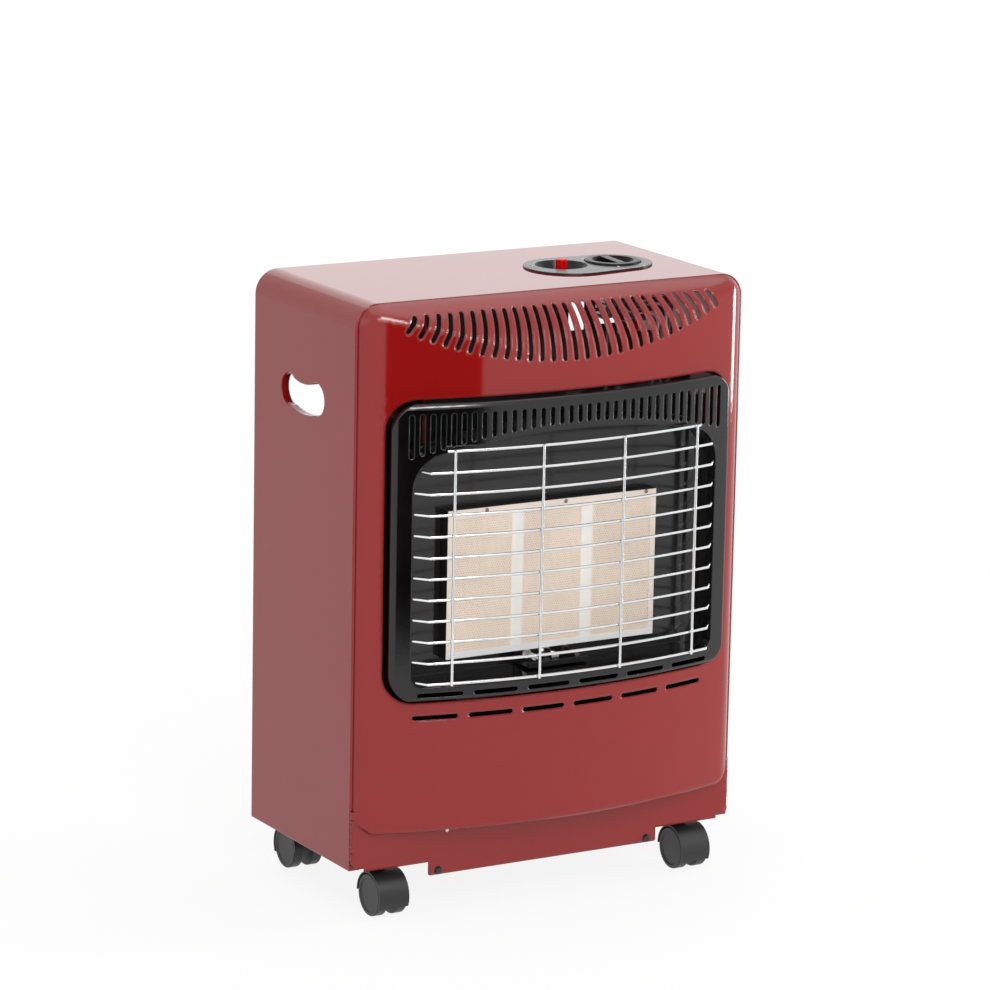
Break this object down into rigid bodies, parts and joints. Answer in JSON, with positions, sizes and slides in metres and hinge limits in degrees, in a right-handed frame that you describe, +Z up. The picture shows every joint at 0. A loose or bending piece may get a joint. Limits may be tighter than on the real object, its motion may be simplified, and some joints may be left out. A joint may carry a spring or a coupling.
{
  "type": "portable gas cabinet heater",
  "caption": "Portable gas cabinet heater: red sheet metal cabinet with bowed louvred front, ceramic radiant burner behind a wire guard, top controls and swivel casters.",
  "frame": {"origin": "middle of the bounding box's footprint, at floor level", "axes": "+Z up, the fire faces -Y, +X is the viewer's right when facing the fire; the controls are on the +X side"},
  "size_m": [0.42, 0.2672, 0.5971],
  "materials": {
    "red_paint": "glossy enamel",
    "black_enamel": "satin enamel",
    "gloss_black": "gloss enamel",
    "bright_wire": "bright plated",
    "bright_steel": "bright sheet",
    "galvanised": "galvanised sheet",
    "ceramic": "unglazed, drilled",
    "fibre": "ceramic fibre",
    "aluminium": "bare",
    "brass": "turned",
    "copper": "drawn copper",
    "porcelain": "glazed",
    "lead_red": "silicone",
    "steel": "turned",
    "bezel_plastic": "fine texture",
    "knob_plastic": "fine texture",
    "black_plastic": "moulded",
    "button_red": "glossy",
    "screw_black": "black plated",
    "wheel_plastic": "moulded"
  },
  "bodies": {
    "cabinet": {"cabinet_wrap": "red_paint", "front_panel": "red_paint", "base_tray": "red_paint", "rear_cover": "red_paint", "heat_shield": "galvanised", "support_bracket_left": "galvanised", "support_bracket_right": "galvanised", "fire_surround": "black_enamel", "reflector": "gloss_black", "guard_grille": "bright_wire", "burner_frame": "bright_steel", "plaque_left": "ceramic", "plaque_centre": "ceramic", "plaque_right": "ceramic", "plaque_gasket": "fibre", "burner_box": "galvanised", "mixing_tube_left": "aluminium", "mixing_tube_centre": "aluminium", "mixing_tube_right": "aluminium", "injector_rail": "galvanised", "injectors": "brass", "gas_pipe_left": "aluminium", "gas_pipe_centre": "aluminium", "gas_pipe_right": "aluminium", "pilot_pipe": "aluminium", "pilot_bracket": "bright_steel", "pilot_burner": "brass", "spark_electrode": "porcelain", "thermocouple": "copper", "ignition_lead": "lead_red", "tap_bracket": "galvanised", "gas_tap": "aluminium", "inlet_nozzle": "brass", "control_bezel": "bezel_plastic", "igniter_body": "black_plastic", "igniter_nut": "black_plastic", "panel_screws": "screw_black", "caster_plate_front_left": "galvanised", "caster_plate_front_right": "galvanised", "caster_plate_rear_left": "galvanised", "caster_plate_rear_right": "galvanised"},
    "swivel_front_left": {"caster_hood_front_left": "black_plastic", "caster_axle_front_left": "steel"},
    "wheel_front_left_outer": {"wheel_front_left_outer": "wheel_plastic"},
    "wheel_front_left_inner": {"wheel_front_left_inner": "wheel_plastic"},
    "swivel_front_right": {"caster_hood_front_right": "black_plastic", "caster_axle_front_right": "steel"},
    "wheel_front_right_outer": {"wheel_front_right_outer": "wheel_plastic"},
    "wheel_front_right_inner": {"wheel_front_right_inner": "wheel_plastic"},
    "swivel_rear_left": {"caster_hood_rear_left": "black_plastic", "caster_axle_rear_left": "steel"},
    "wheel_rear_left_outer": {"wheel_rear_left_outer": "wheel_plastic"},
    "wheel_rear_left_inner": {"wheel_rear_left_inner": "wheel_plastic"},
    "swivel_rear_right": {"caster_hood_rear_right": "black_plastic", "caster_axle_rear_right": "steel"},
    "wheel_rear_right_outer": {"wheel_rear_right_outer": "wheel_plastic"},
    "wheel_rear_right_inner": {"wheel_rear_right_inner": "wheel_plastic"},
    "tap_spindle": {"tap_spindle": "steel"},
    "control_knob": {"control_knob": "knob_plastic"},
    "igniter_button": {"igniter_button": "button_red"}
  },
  "joints": [
    {"name": "knob_push", "type": "slide", "parent": "cabinet", "child": "tap_spindle", "axis": [0, 0, -1], "range_m": [0, 0.004], "stiffness_N_per_m": 500, "springref_m": -0.002},
    {"name": "knob_turn", "type": "hinge", "parent": "tap_spindle", "child": "control_knob", "pos_m": [0.1235, 0.02692, 0.59], "axis": [0, 0, 1], "range_deg": [0, 210]},
    {"name": "igniter_push", "type": "slide", "parent": "cabinet", "child": "igniter_button", "axis": [0, 0, -1], "range_m": [0, 0.005], "stiffness_N_per_m": 400, "springref_m": -0.002},
    {"name": "front_left_swivel", "type": "hinge", "parent": "cabinet", "child": "swivel_front_left", "pos_m": [-0.168, -0.04808, 0], "axis": [0, 0, 1], "continuous": true},
    {"name": "front_left_outer_roll", "type": "hinge", "parent": "swivel_front_left", "child": "wheel_front_left_outer", "pos_m": [-0.168, -0.06008, 0.0205], "axis": [1, 0, 0], "continuous": true},
    {"name": "front_left_inner_roll", "type": "hinge", "parent": "swivel_front_left", "child": "wheel_front_left_inner", "pos_m": [-0.168, -0.06008, 0.0205], "axis": [1, 0, 0], "continuous": true},
    {"name": "front_right_swivel", "type": "hinge", "parent": "cabinet", "child": "swivel_front_right", "pos_m": [0.168, -0.04808, 0], "axis": [0, 0, 1], "continuous": true},
    {"name": "front_right_outer_roll", "type": "hinge", "parent": "swivel_front_right", "child": "wheel_front_right_outer", "pos_m": [0.168, -0.06008, 0.0205], "axis": [1, 0, 0], "continuous": true},
    {"name": "front_right_inner_roll", "type": "hinge", "parent": "swivel_front_right", "child": "wheel_front_right_inner", "pos_m": [0.168, -0.06008, 0.0205], "axis": [1, 0, 0], "continuous": true},
    {"name": "rear_left_swivel", "type": "hinge", "parent": "cabinet", "child": "swivel_rear_left", "pos_m": [-0.168, 0.09892, 0], "axis": [0, 0, 1], "continuous": true},
    {"name": "rear_left_outer_roll", "type": "hinge", "parent": "swivel_rear_left", "child": "wheel_rear_left_outer", "pos_m": [-0.168, 0.11092, 0.0205], "axis": [1, 0, 0], "continuous": true},
    {"name": "rear_left_inner_roll", "type": "hinge", "parent": "swivel_rear_left", "child": "wheel_rear_left_inner", "pos_m": [-0.168, 0.11092, 0.0205], "axis": [1, 0, 0], "continuous": true},
    {"name": "rear_right_swivel", "type": "hinge", "parent": "cabinet", "child": "swivel_rear_right", "pos_m": [0.168, 0.09892, 0], "axis": [0, 0, 1], "continuous": true},
    {"name": "rear_right_outer_roll", "type": "hinge", "parent": "swivel_rear_right", "child": "wheel_rear_right_outer", "pos_m": [0.168, 0.11092, 0.0205], "axis": [1, 0, 0], "continuous": true},
    {"name": "rear_right_inner_roll", "type": "hinge", "parent": "swivel_rear_right", "child": "wheel_rear_right_inner", "pos_m": [0.168, 0.11092, 0.0205], "axis": [1, 0, 0], "continuous": true}
  ]
}
